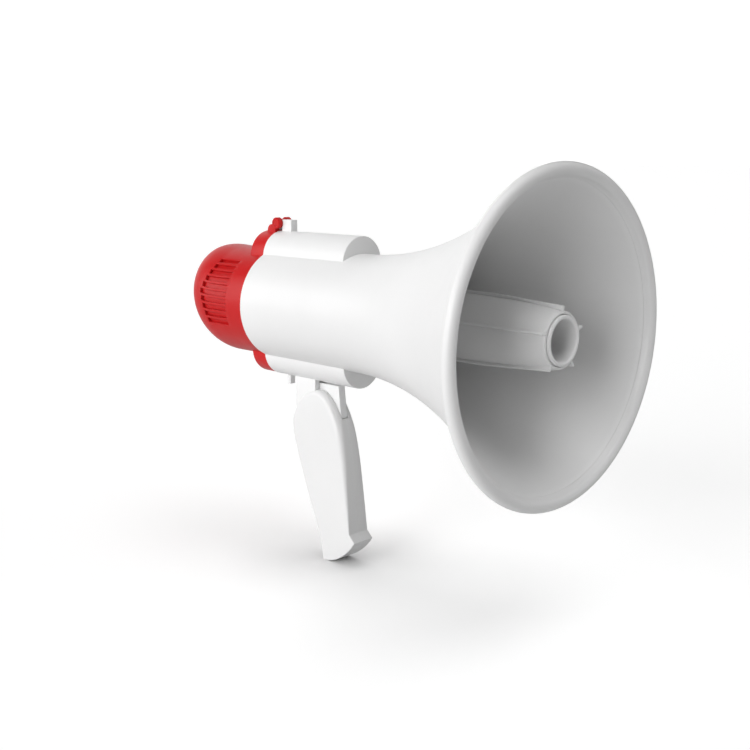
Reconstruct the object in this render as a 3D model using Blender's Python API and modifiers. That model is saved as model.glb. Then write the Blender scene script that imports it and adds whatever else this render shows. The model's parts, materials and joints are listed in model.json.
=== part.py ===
"""Handheld megaphone with a folding pistol grip, as an assembly of separate pieces.

Everything is laid out about the horn's axis: X runs out of the mouth, Z is up, and the mouth's
plane is X = 0. One empty carries the whole model, so that the centre of the grip is the origin.
Each moving body has its own empty on its joint's axis.
"""
import math

import bmesh
import bpy
from mathutils import Matrix, Vector

MM = 0.001
GAP = 0.3 * MM                      # clearance between neighbouring pieces

# Horn and barrel
RIM_R = 115 * MM                    # outside radius of the rim ring
BEAD_R = 4.4 * MM
BARREL_R = 45.6 * MM
WALL = 2.0 * MM
SEAM_X = -278.2 * MM                # where the rear cap meets the barrel
FLARE_X = -177.9 * MM               # where the barrel starts to open into the bell
FLARE = 1.997                       # growth of the radius, per metre, with distance squared
MOUTH_X = -3.0 * MM                 # end of the bell's wall, inside the rim ring

# Battery pods, one above and one below the barrel
POD_Z = 38.5 * MM
POD_R = 20.6 * MM
POD_FRONT_X = -185.0 * MM
LOBE_R = 20.3 * MM
LOBE_X = -294.8 * MM                # back face of the cap's lobes

# Rear cap
CAP_R = 44.4 * MM
CAP_WALL = 2.0 * MM
DOME_X = -322.0 * MM                # where the cap starts to close
DOME_LENGTH = 39.0 * MM
DOME_LIFT = 9.2 * MM                # rise of the dome's tip above the horn's axis

# Joint axes: points on the horn's own axes
HINGE = Vector((-278.1, 0, 65.3)) * MM
FOLD = Vector((-238.0, 0, -87.4)) * MM
SQUEEZE = Vector((-211.6, 0, -98.9)) * MM
LATCH = Vector((-236.5, 0, -55.8)) * MM
KNOB = Vector((-357.6, 0, -11.0)) * MM
MIC = Vector((-358.6, 0, 17.0)) * MM
GRIP = Vector((-221.0, 0, -132.0)) * MM

# Handle
HANDLE_HALF = 10.5 * MM
HANDLE_WALL = 2.4 * MM
BRACKET_HALF = 8.6 * MM
BLADE_HALF = 3.5 * MM
BRACKET_SCREW_X = -241.0            # in millimetres
BRACKET_SCREW_Y = 6.3

# Reflex horn inside the bell
SLEEVE_FRONT_X = 0.8 * MM
SLEEVE_BACK_X = -150.0 * MM
SLEEVE_WALL = 2.0 * MM
FIN_ANGLES = (90, 18, -54, -126, 162)
PLATE_X = -176.0 * MM               # back face of the driver plate
PLATE_THICK = 4.0 * MM

# Cells
CELL_R = 13.1 * MM
CELL_LENGTH = 50.0 * MM
CELL_FRONT_X = -191.3 * MM
TUBE_R = 15.1 * MM
TUBE_BACK_X = -262.0 * MM

WHITE = (0.88, 0.88, 0.87)
RED = (0.62, 0.03, 0.035)

BIG = 40                            # steps round a large turned piece
MEDIUM = 24
SMALL = 12


# ---------------------------------------------------------------- helpers

def new_collection(name):
    made = bpy.data.collections.new(name)
    bpy.context.scene.collection.children.link(made)
    return made


for old in list(bpy.data.objects):
    bpy.data.objects.remove(old, do_unlink=True)
PARTS = new_collection("handheld_megaphone")
CUTTERS = new_collection("cutters")


def add_object(name, mesh):
    obj = bpy.data.objects.new(name, mesh)
    PARTS.objects.link(obj)
    return obj


def material(name, colour, roughness, metallic=0.0):
    made = bpy.data.materials.get(name) or bpy.data.materials.new(name)
    made.use_nodes = True
    shader = made.node_tree.nodes["Principled BSDF"]
    shader.inputs["Base Color"].default_value = (*colour, 1)
    shader.inputs["Roughness"].default_value = roughness
    shader.inputs["Metallic"].default_value = metallic
    return made


def box(name, low, high):
    low, high = Vector(low), Vector(high)
    bm = bmesh.new()
    bmesh.ops.create_cube(bm, size=1)
    bmesh.ops.scale(bm, vec=high - low, verts=bm.verts)
    mesh = bpy.data.meshes.new(name)
    bm.to_mesh(mesh)
    bm.free()
    obj = add_object(name, mesh)
    obj.location = (low + high) / 2
    return obj


def mm_box(name, x, y, z):
    return box(name, (x[0] * MM, y[0] * MM, z[0] * MM), (x[1] * MM, y[1] * MM, z[1] * MM))


def rod(name, start, end, radius, steps=SMALL):
    """A cylinder between two points."""
    start, end = Vector(start), Vector(end)
    bm = bmesh.new()
    bmesh.ops.create_cone(bm, cap_ends=True, segments=steps, radius1=radius, radius2=radius,
                          depth=(end - start).length)
    mesh = bpy.data.meshes.new(name)
    bm.to_mesh(mesh)
    bm.free()
    mesh.shade_smooth()
    mesh.set_sharp_from_angle(angle=math.radians(40))
    obj = add_object(name, mesh)
    obj.rotation_mode = "QUATERNION"
    obj.rotation_quaternion = (end - start).to_track_quat("Z", "Y")
    obj.location = (start + end) / 2
    return obj


def turned(name, profile, steps=MEDIUM, centre=(0, 0)):
    """Turn a closed outline of (x, radius) points about a line along X.

    The outline runs along its outer side from the front to the back. Points on the axis merge.
    centre is the y and z of the line.
    """
    bm = bmesh.new()
    verts = [bm.verts.new((radius, 0, x)) for x, radius in profile]
    loose = profile[0][1] == 0 and profile[-1][1] == 0
    for here, there in zip(verts, verts[1:] if loose else verts[1:] + verts[:1]):
        bm.edges.new((here, there))
    mesh = bpy.data.meshes.new(name)
    bm.to_mesh(mesh)
    bm.free()
    obj = add_object(name, mesh)
    screw = obj.modifiers.new("turn", "SCREW")
    screw.steps = screw.render_steps = steps
    screw.use_merge_vertices = True
    screw.merge_threshold = 0.00001
    obj.rotation_euler = (0, math.pi / 2, 0)
    obj.location = (0, centre[0], centre[1])
    return obj


def bake(obj):
    """Give an object its evaluated shape as a plain mesh with no transform."""
    bpy.context.view_layer.update()
    mesh = bpy.data.meshes.new_from_object(obj.evaluated_get(bpy.context.evaluated_depsgraph_get()))
    mesh.transform(obj.matrix_world)
    name = obj.name
    bm = bmesh.new()
    bm.from_mesh(mesh)
    bmesh.ops.remove_doubles(bm, verts=bm.verts, dist=0.00001)
    bm.to_mesh(mesh)
    bm.free()
    bpy.data.objects.remove(obj, do_unlink=True)
    return add_object(name, mesh)


def outline(name, runs, half, resolution=5):
    """A flat plate in the XZ plane, 2 * half thick.

    runs is a list of smooth runs of (x, z) points in millimetres; where two runs meet is a corner.
    """
    curve = bpy.data.curves.new(name, "CURVE")
    curve.dimensions = "2D"
    curve.fill_mode = "BOTH"
    curve.extrude = half
    curve.resolution_u = resolution
    spline = curve.splines.new("BEZIER")
    points = [(x, z, k in (0, len(run) - 1)) for run in runs for k, (x, z) in enumerate(run)]
    merged = [p for k, p in enumerate(points) if p[:2] != points[k - 1][:2]]
    spline.bezier_points.add(len(merged) - 1)
    for point, (x, z, corner) in zip(spline.bezier_points, merged):
        point.co = (x * MM, z * MM, 0)
        kind = "VECTOR" if corner else "AUTO"
        point.handle_left_type = point.handle_right_type = kind
    spline.use_cyclic_u = True
    obj = add_object(name, curve)
    obj.rotation_euler = (math.pi / 2, 0, 0)
    return bake(obj)


def plate(name, points, half):
    """A flat plate in the XZ plane with straight edges, from (x, z) points in millimetres."""
    return outline(name, [list(pair) for pair in zip(points, points[1:] + points[:1])], half, 1)


def combine(obj, tool, operation="DIFFERENCE"):
    """Cut, join or intersect obj with tool; tool becomes a hidden cutter."""
    modifier = obj.modifiers.new(f"{operation.lower()} {tool.name}", "BOOLEAN")
    modifier.operation = operation
    modifier.solver = "EXACT"
    modifier.object = tool
    for owner in list(tool.users_collection):
        owner.objects.unlink(tool)
    CUTTERS.objects.link(tool)
    tool.hide_render = True
    tool.display_type = "WIRE"
    return obj


def join(obj, tool):
    return combine(obj, tool, "UNION")


def coil(name, start, end, radius, wire, turns):
    """A round-wire helix from start to end, its ends lying inside its length."""
    start, end = Vector(start), Vector(end)
    along = (end - start).normalized()
    side = along.orthogonal().normalized()
    third = along.cross(side)
    curve = bpy.data.curves.new(name, "CURVE")
    curve.dimensions = "3D"
    curve.bevel_depth = wire
    curve.bevel_resolution = 1
    curve.use_fill_caps = True
    count = int(turns * 8)
    spline = curve.splines.new("POLY")
    spline.points.add(count)
    first = start + along * wire
    length = (end - start).length - 2 * wire
    for k, point in enumerate(spline.points):
        angle = math.tau * turns * k / count
        at = first + along * (length * k / count)
        at += radius * (math.cos(angle) * side + math.sin(angle) * third)
        point.co = (*at, 1)
    return add_object(name, curve)


def wire(name, points, radius):
    """A soft lead through the points, given in millimetres, read from a smooth curve."""
    corners = [Vector(p) * MM for p in points]
    steps = 3
    places = []
    for k in range(len(corners) - 1):
        before = corners[max(k - 1, 0)]
        here, there = corners[k], corners[k + 1]
        after = corners[min(k + 2, len(corners) - 1)]
        for j in range(steps):
            t = j / steps
            places.append(0.5 * (2 * here + (there - before) * t
                                 + (2 * before - 5 * here + 4 * there - after) * t * t
                                 + (3 * here - before - 3 * there + after) * t ** 3))
    places.append(corners[-1])
    curve = bpy.data.curves.new(name, "CURVE")
    curve.dimensions = "3D"
    curve.bevel_depth = radius
    curve.bevel_resolution = 2
    curve.use_fill_caps = True
    spline = curve.splines.new("POLY")
    spline.points.add(len(places) - 1)
    for point, place in zip(spline.points, places):
        point.co = (*place, 1)
    return add_object(name, curve)


def place_of(link):
    """Where an empty stands in the model, its parents' places added up."""
    place = Vector((0, 0, 0))
    while link:
        place += link.location
        link = link.parent
    return place


def empty(name, at, parent=None):
    """An empty at a point on the horn's own axes; the grip's centre becomes the origin."""
    made = add_object(name, None)
    made.location = at - GRIP - place_of(parent)
    made.parent = parent
    return made


def move_cutters(obj, step):
    for modifier in obj.modifiers:
        if modifier.type == "BOOLEAN":
            modifier.object.location += step
            move_cutters(modifier.object, step)


def done(obj, paint, parent):
    """Give the piece a material of its own and hang it on its parent, at its place on the horn's axes."""
    own = paint.copy()
    own.name = f"{obj.name}_{paint.name}"
    obj.data.materials.clear()
    obj.data.materials.append(own)
    obj.location = obj.location - GRIP - place_of(parent)
    obj.parent = parent
    move_cutters(obj, -GRIP)
    return obj


# ---------------------------------------------------------------- shared shapes

def horn_radius(x):
    return BARREL_R + FLARE * max(0.0, x - FLARE_X) ** 2


def horn_inner_radius(x):
    slope = 2 * FLARE * max(0.0, x - FLARE_X)
    return horn_radius(x) - WALL * math.sqrt(1 + slope ** 2)


def horn_profile(radius_at, front, back, steps=10):
    """Points along the horn's wall from front to back, closer together where it flares."""
    bell = [front + (FLARE_X - front) * k / steps for k in range(steps + 1)]
    return [(x, radius_at(x)) for x in bell] + [(back, radius_at(back))]


def sleeve_radius(x):
    return (19.4 + 5.6 * (1 - math.exp(x / (32 * MM)))) * MM


def fin_radius(x):
    return (23.0 + 3.6 * min(1.0, -x / (62 * MM))) * MM


def dome_points(inset, front):
    """Outline of the cap from its open end to its tip, inset from the outer surface."""
    count = 9
    radius = CAP_R - inset
    length = DOME_LENGTH - inset
    points = [(front, radius)]
    for k in range(count + 1):
        part = math.sin(math.pi / 2 * k / count) ** 0.8
        points.append((DOME_X - length * part, radius * (1 - part ** 2.5) ** 0.26 if part < 1 else 0.0))
    return points


def lift_dome(obj):
    """Raise the dome's rings towards the tip, so the back of the cap looks slightly upwards."""
    for vert in obj.data.vertices:
        part = max(0.0, (DOME_X - vert.co.x) / DOME_LENGTH)
        vert.co.z += DOME_LIFT * part ** 1.66
    return obj


def along_x(name, x, z, radius, steps=MEDIUM, y=0.0):
    """A cylinder along X between two x values in millimetres."""
    return rod(name, (x[0] * MM, y, z), (x[1] * MM, y, z), radius, steps)


def upright(name, x, y, low, high, radius, steps=12):
    """A cylinder along Z, its place, ends and radius in millimetres."""
    return rod(name, (x * MM, y * MM, low * MM), (x * MM, y * MM, high * MM), radius * MM, steps)


def pod_trim(name):
    """The lower pod's outside with clearance, to shape what is fixed under it."""
    return along_x(name, (-300, -180), -POD_Z, POD_R + GAP, 40)


# ---------------------------------------------------------------- horn

def horn_shell():
    """Barrel, bell and both pods, moulded in one piece and open at both ends."""
    behind = SEAM_X - 5 * MM
    shell = turned("horn_shell", [(MOUTH_X, 0)] + horn_profile(horn_radius, MOUTH_X, behind)
                   + [(behind, 0)], BIG)
    for word, side in (("top", 1), ("bottom", -1)):
        pod = along_x(f"pod_{word}", (behind / MM - 2, POD_FRONT_X / MM), side * POD_Z, POD_R, 36)
        join(shell, pod)
    combine(shell, box("seam_trim", (SEAM_X - 20 * MM, -0.1, -0.1), (SEAM_X, 0.1, 0.1)))
    cavity = turned("horn_cavity", [(10 * MM, 0), (10 * MM, horn_inner_radius(10 * MM))]
                    + horn_profile(horn_inner_radius, MOUTH_X + 1 * MM, SEAM_X - 12 * MM)
                    + [(SEAM_X - 12 * MM, 0)], BIG)
    combine(shell, cavity)
    for word, side in (("top", 1), ("bottom", -1)):
        hollow = along_x(f"pod_hollow_{word}", (-290, POD_FRONT_X / MM - 2.3), side * POD_Z,
                         POD_R - 2.2 * MM, 36)
        combine(shell, hollow)
    combine(shell, mm_box("latch_hole", (-271.3, -267.1), (-2.4, 2.4), (-62, -50)))
    combine(shell, rod("lug_hole", (-268.8 * MM, 0, 50 * MM), (-268.8 * MM, 0, 62 * MM), 1.6 * MM, 12))
    for side in (-1, 1):
        combine(shell, upright("bracket_hole", BRACKET_SCREW_X, side * BRACKET_SCREW_Y, -62, -50, 1.5))
    return shell


def rim_ring():
    """Rounded bead on the mouth, with a lip that covers the end of the bell's wall."""
    centre_x, centre_r = -1.0 * MM, RIM_R - BEAD_R
    inner = horn_inner_radius(MOUTH_X) + 0.1 * MM
    outer = horn_radius(MOUTH_X) + GAP
    back_x = MOUTH_X + GAP
    first, last = math.radians(-60), math.radians(240)
    profile = []
    count = 10
    for k in range(count + 1):
        angle = first + (last - first) * k / count
        profile.append((centre_x + BEAD_R * math.cos(angle), centre_r + BEAD_R * math.sin(angle)))
    profile += [(back_x, outer), (back_x, inner)]
    return turned("rim_ring", profile, BIG)


def reflector_sleeve():
    """Tube in the bell that folds the sound path, with five fins that stand on the driver plate."""
    count = 5
    front, back = SLEEVE_FRONT_X, SLEEVE_BACK_X
    xs = [front + (back - front) * (k / count) ** 1.5 for k in range(count + 1)]
    outer = [(x, sleeve_radius(x)) for x in xs]
    inner = [(x, r - SLEEVE_WALL) for x, r in reversed(outer)]
    sleeve = turned("reflector_sleeve", outer + inner, MEDIUM)
    plate_front = PLATE_X + PLATE_THICK
    for k, degrees in enumerate(FIN_ANGLES):
        crest = [(x / MM, fin_radius(x) / MM) for x in (front, -30 * MM, -62 * MM)]
        foot_x = (plate_front + GAP) / MM
        points = crest + [(foot_x, fin_radius(-1) / MM), (foot_x, 23.6), (-140, 23.6), (-62, 22.9),
                          (-30, 21.4), (front / MM, 18.3)]
        fin = plate(f"fin_{k + 1}", points, 1.0 * MM)
        fin.rotation_euler = (math.radians(degrees - 90), 0, 0)
        join(sleeve, fin)
    return sleeve


def reflector_cup():
    """Nose of the sleeve: a cup whose rounded lip shows in front, and whose back turns the sound."""
    rim_r, hole_r = 17.1, 14.3
    points = [(-27.8, 0), (-26.8, 10.5), (-23.8, 12.6), (0.2, hole_r), (2.5, 15.0), (2.7, 15.7),
              (2.5, 16.5), (1.6, rim_r), (-21.8, rim_r), (-27.8, 15.5), (-37.8, 9.0), (-43.8, 0)]
    return turned("reflector_cup", [(x * MM, r * MM) for x, r in points], MEDIUM)


def throat_tube():
    """Inner horn, which carries the sound forward from the driver into the sleeve."""
    outer = [(-62, 12.5), (-110, 10.0), (-171.6, 9.0)]
    inner = [(-171.6, 7.0), (-110, 8.0), (-62, 11.0)]
    return turned("throat_tube", [(x * MM, r * MM) for x, r in outer + inner], 24)


def driver_parts():
    plate_front = PLATE_X + PLATE_THICK
    disc = turned("driver_plate", [(plate_front, 43.1 * MM), (PLATE_X, 43.1 * MM), (PLATE_X, 7 * MM),
                                   (plate_front, 7 * MM)], 32)
    frame = turned("driver_frame", [(x * MM, r * MM) for x, r in (
        (-176.3, 30), (-179, 30), (-186, 26), (-186, 12), (-182.5, 12), (-182.5, 23), (-176.3, 24))])
    dome = turned("driver_diaphragm", [(x * MM, r * MM) for x, r in (
        (-177.0, 0), (-177.6, 7), (-179.5, 13), (-180.6, 15), (-180.6, 22.4), (-181.6, 22.4), (-181.6, 14),
        (-180.5, 12), (-178.6, 6.5), (-178.0, 0))], 16)
    magnet = turned("driver_magnet", [(x * MM, r * MM) for x, r in (
        (-186.3, 21), (-197, 21), (-197, 11), (-186.3, 11))])
    yoke = turned("driver_yoke", [(x * MM, r * MM) for x, r in (
        (-184, 0), (-184, 9.5), (-197.3, 9.5), (-197.3, 21), (-200.3, 21), (-201.3, 20), (-201.3, 0))], 20)
    screws = []
    for number, side in ((1, 1), (2, -1)):
        y = side * 27.0 * MM
        shank = along_x(f"driver_screw_{number}", (-185.2, -173.2), 0, 1.3 * MM, 10, y)
        head = along_x(f"driver_screw_{number}_head", (-187.2, -184.6), 0, 2.6 * MM, 10, y)
        seat = along_x(f"driver_seat_{number}", (-190, -184.3), 0, 3.0 * MM, 12, y)
        for target in (disc, frame):
            combine(target, along_x(f"driver_hole_{number}", (-195, -172.8), 0, 1.6 * MM, 12, y))
        combine(frame, seat)
        screws.append(join(shank, head))
    return disc, frame, dome, magnet, yoke, screws


# ---------------------------------------------------------------- batteries and electronics

def battery_parts():
    pieces = []
    for word, side in (("top", 1), ("bottom", -1)):
        z = side * POD_Z
        tube = turned(f"battery_tube_{word}", [(-189 * MM, TUBE_R), (TUBE_BACK_X, TUBE_R),
                                               (TUBE_BACK_X, 13.5 * MM), (-189 * MM, 13.5 * MM)], MEDIUM, (0, z))
        spring = coil(f"battery_spring_{word}", (-187.6 * MM, 0, z), (-191.0 * MM, 0, z), 6 * MM,
                      0.45 * MM, 2.5)
        pieces.append(("tube", tube))
        pieces.append(("spring", spring))
    number = 0
    for side in (1, -1):
        for place in range(2):
            number += 1
            front = CELL_FRONT_X - place * (CELL_LENGTH + GAP)
            back = front - CELL_LENGTH
            nub = back + 1.6 * MM
            outline_points = [(front, 0), (front, 12.4 * MM), (front - 0.7 * MM, CELL_R),
                              (nub + 0.7 * MM, CELL_R), (nub, 12.4 * MM), (nub, 3.2 * MM),
                              (back, 3.2 * MM), (back, 0)]
            cell = turned(f"battery_cell_{number}", outline_points, 16, (0, side * POD_Z))
            pieces.append(("cell", cell))
    return pieces


def electronics():
    """Amplifier board on two posts on the far side of the barrel, with its large components."""
    board = mm_box("amplifier_board", (-268, -212), (28, 29.6), (-21, 21))
    posts, screws = [], []
    for number, x in ((1, -263), (2, -217)):
        post = rod(f"board_post_{number}", (x * MM, 29.9 * MM, 0), (x * MM, 43.1 * MM, 0), 3 * MM, 12)
        combine(post, rod(f"post_bore_{number}", (x * MM, 28 * MM, 0), (x * MM, 38 * MM, 0), 1.4 * MM, 10))
        combine(board, rod(f"board_hole_{number}", (x * MM, 26 * MM, 0), (x * MM, 32 * MM, 0), 1.7 * MM, 12))
        shank = rod(f"board_screw_{number}", (x * MM, 27 * MM, 0), (x * MM, 36 * MM, 0), 1.1 * MM, 10)
        head = rod(f"board_screw_{number}_head", (x * MM, 25.9 * MM, 0), (x * MM, 27.7 * MM, 0), 2.6 * MM, 10)
        posts.append(post)
        screws.append(join(shank, head))
    transformer = mm_box("output_transformer", (-258, -238), (10, 27.7), (-18, -3))
    capacitor = rod("capacitor", (-230 * MM, 9 * MM, -9 * MM), (-230 * MM, 27.7 * MM, -9 * MM), 5 * MM)
    sink = mm_box("heat_sink", (-258, -228), (11, 27.7), (4, 16))
    for k in range(5):
        x = -254.5 + 5.6 * k
        combine(sink, mm_box("sink_groove", (x, x + 2.4), (6, 23), (2, 18)))
    return board, posts, screws, transformer, capacitor, sink


# ---------------------------------------------------------------- hinge and latch

def hinge_lug():
    """Block on the upper pod whose hook reaches under the cap's hinge pin."""
    lug = mm_box("hinge_lug", (-274.4, -263.2), (-3.45, 3.45), (58.0, 68.2))
    hook = []
    for k in range(9):
        angle = math.radians(8 - 150 * k / 8)
        hook.append((HINGE.x / MM + 5.2 * math.cos(angle), HINGE.z / MM + 5.2 * math.sin(angle)))
    for k in range(9):
        angle = math.radians(8 - 150 * (8 - k) / 8)
        hook.append((HINGE.x / MM + 3.75 * math.cos(angle), HINGE.z / MM + 3.75 * math.sin(angle)))
    for side in (-1, 1):
        combine(lug, rod("ear_way", (HINGE.x, side * 2.6 * MM, HINGE.z), (HINGE.x, side * 9 * MM, HINGE.z),
                         4.95 * MM, 24))
    join(lug, plate("hinge_hook", hook, 2.5 * MM))
    combine(lug, along_x("lug_trim", (-300, -180), POD_Z, POD_R + GAP, 40))
    combine(lug, rod("lug_bore", (-268.8 * MM, 0, 50 * MM), (-268.8 * MM, 0, 65.5 * MM), 1.4 * MM, 10))
    screw = rod("lug_screw", (-268.8 * MM, 0, 56.2 * MM), (-268.8 * MM, 0, 64.5 * MM), 1.1 * MM, 10)
    join(screw, rod("lug_screw_head", (-268.8 * MM, 0, 54.6 * MM), (-268.8 * MM, 0, 56.4 * MM), 2.4 * MM, 10))
    return lug, screw


def latch_parts():
    """Leaf spring along the lower pod's floor, and the peg that lifts it off the cap."""
    leaf = plate("latch_leaf", [(-236.5, -55.6), (-236.5, -56.1), (-281.6, -56.1), (-283.0, -54.9),
                                (-282.4, -54.6), (-281.3, -55.6)], 3 * MM)
    button = plate("latch_button", [(-270.9, -56.4), (-270.9, -66.0), (-270.1, -66.8), (-268.3, -66.8),
                                    (-267.5, -66.0), (-267.5, -56.4)], 2 * MM)
    return leaf, button


# ---------------------------------------------------------------- handle

FRONT_EDGE = [(-231.5, -65.6), (-219.5, -68.0), (-209.1, -78.4), (-201.7, -93.4), (-196.8, -116.8),
              (-193.0, -148.9), (-190.2, -177.6)]
LIP = [(-190.2, -177.6), (-184.2, -183.4)]
SOLE = [(-184.2, -183.4), (-191.5, -192.0), (-203.0, -200.6), (-213.0, -204.6), (-220.9, -205.3)]
HEEL = [(-220.9, -205.3), (-222.9, -194.0)]
REAR_EDGE = [(-222.9, -194.0), (-230.5, -174.0), (-242.0, -147.0), (-252.5, -117.5), (-257.0, -98.0),
             (-253.9, -84.5), (-245.5, -72.3), (-231.5, -65.6)]
SCREW_PLACES = [(-222.0, -118.0), (-207.5, -176.0)]


def handle_halves():
    """Two clam-shell halves, hollow, open at the top for the bracket and the trigger."""
    halves = []
    for word, side in (("left", 1), ("right", -1)):
        half = outline(f"handle_{word}", [FRONT_EDGE, LIP, SOLE, HEEL, REAR_EDGE], HANDLE_HALF, 3)
        bevel = half.modifiers.new("round", "BEVEL")
        bevel.width = 1.6 * MM
        bevel.segments = 1
        bevel.limit_method = "ANGLE"
        bevel.angle_limit = math.radians(60)
        near, far = (0.15, 20) if side > 0 else (-20, -0.15)
        combine(half, mm_box(f"half_space_{word}", (-300, -100), (near, far), (-250, -40)), "INTERSECT")
        wall = HANDLE_WALL / MM
        front = [(x - wall, z) for x, z in FRONT_EDGE[2:-1]]
        rear = [(x + wall, z) for x, z in REAR_EDGE[1:-2]]
        hollow = outline(f"handle_hollow_{word}", [[(-226, -74)] + front + [(-194.5, -182)],
                                                   [(-194.5, -182), (-218, -186)],
                                                   [(-218, -186)] + rear + [(-244, -77)],
                                                   [(-244, -77), (-226, -74)]], 8.6 * MM, 2)
        combine(half, hollow)
        combine(half, mm_box(f"bracket_slot_{word}", (-275, -230.2), (-8.9, 8.9), (-107, -50)))
        combine(half, mm_box(f"blade_slot_{word}", (-232, -180), (-3.9, 3.9), (-86.4, -50)))
        for name, at, radius in (("fold", FOLD, 2.5), ("squeeze", SQUEEZE, 1.7)):
            bore = rod(f"{name}_bore_{word}", (at.x, -9.7 * MM, at.z), (at.x, 9.7 * MM, at.z), radius * MM)
            combine(half, bore)
        for x, z in SCREW_PLACES:
            post = rod(f"post_{word}", (x * MM, side * 0.15 * MM, z * MM),
                       (x * MM, side * 9.5 * MM, z * MM), 3.4 * MM)
            join(half, post)
            combine(half, rod(f"screw_way_{word}", (x * MM, -7.5 * MM, z * MM), (x * MM, 12 * MM, z * MM),
                              1.6 * MM, 12))
            if side > 0:
                combine(half, rod("head_seat", (x * MM, 6.5 * MM, z * MM), (x * MM, 13 * MM, z * MM),
                                  2.7 * MM, 12))
        halves.append(half)
    return halves


def handle_screws():
    screws = []
    for number, (x, z) in enumerate(SCREW_PLACES, 1):
        shank = rod(f"handle_screw_{number}", (x * MM, -6.5 * MM, z * MM), (x * MM, 7.5 * MM, z * MM),
                    1.3 * MM, 10)
        head = rod(f"handle_screw_{number}_head", (x * MM, 6.9 * MM, z * MM), (x * MM, 9.0 * MM, z * MM),
                   2.4 * MM, 12)
        screws.append(join(shank, head))
    return screws


def handle_bracket():
    """Fixed under the lower pod; the handle folds on it, and its front slot clears the trigger."""
    foot = 8.2
    rounds = [(FOLD.x / MM + foot * math.cos(math.radians(a)), FOLD.z / MM + foot * math.sin(math.radians(a)))
              for a in range(0, -136, -27)]
    points = [(-230.6, -54.0)] + [(-230.6, -82.0)] + rounds[1:] + [(-254.0, -84.0), (-254.0, -54.0)]
    bracket = plate("handle_bracket", points, BRACKET_HALF)
    combine(bracket, pod_trim("bracket_trim"))
    combine(bracket, mm_box("blade_slot", (-246.0, -225.0), (-3.9, 3.9), (-79.0, -50)))
    combine(bracket, rod("fold_hole", (FOLD.x, -12 * MM, FOLD.z), (FOLD.x, 12 * MM, FOLD.z), 2.4 * MM))
    return bracket


def bracket_screws(bracket):
    """Two screws, driven from inside the pod into the bracket's side plates."""
    screws = []
    for number, side in ((1, 1), (2, -1)):
        y = side * BRACKET_SCREW_Y
        combine(bracket, upright("bracket_bore", BRACKET_SCREW_X, y, -68.5, -50, 1.4))
        screw = upright(f"bracket_screw_{number}", BRACKET_SCREW_X, y, -68, -54.5, 1.1, 10)
        screws.append(join(screw, upright("head", BRACKET_SCREW_X, y, -54.9, -53.4, 1.9, 10)))
    return screws


def trigger():
    """Finger blade that stands in front of the bracket and swings back into its slot."""
    points = [(-208.7, -60.4), (-205.7, -86.0), (-206.9, -86.6), (-205.2, -98.0), (-206.5, -103.0),
              (-212.0, -105.0), (-217.5, -102.5), (-219.5, -95.0), (-222.0, -88.0), (-228.5, -76.0),
              (-233.8, -69.5), (-234.0, -60.4)]
    blade = plate("trigger", points, BLADE_HALF)
    combine(blade, rod("trigger_hole", (SQUEEZE.x, -8 * MM, SQUEEZE.z), (SQUEEZE.x, 8 * MM, SQUEEZE.z),
                       1.55 * MM))
    return blade


# ---------------------------------------------------------------- rear cap

def slot_cutters():
    """Ten vent slots on each side, their back ends stepping out to a point in the middle."""
    bm = bmesh.new()
    for side in (-1, 1):
        for k in range(10):
            back = -334.3 + 2.1 * abs(k - 5)
            front = -299.0
            made = bmesh.ops.create_cube(bm, size=1)["verts"]
            bmesh.ops.scale(bm, verts=made, vec=((front - back) * MM, 14 * MM, 3.95 * MM))
            bmesh.ops.translate(bm, verts=made, vec=((front + back) / 2 * MM, 45 * MM, 0))
            angle = math.radians(49.2 - 7.67 * k)
            bmesh.ops.rotate(bm, verts=made, matrix=Matrix.Rotation(angle, 3, "X"))
            if side < 0:
                bmesh.ops.rotate(bm, verts=made, matrix=Matrix.Rotation(math.pi - 2 * angle, 3, "X"))
    mesh = bpy.data.meshes.new("vent_slots")
    bm.to_mesh(mesh)
    bm.free()
    return add_object("vent_slots", mesh)


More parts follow.
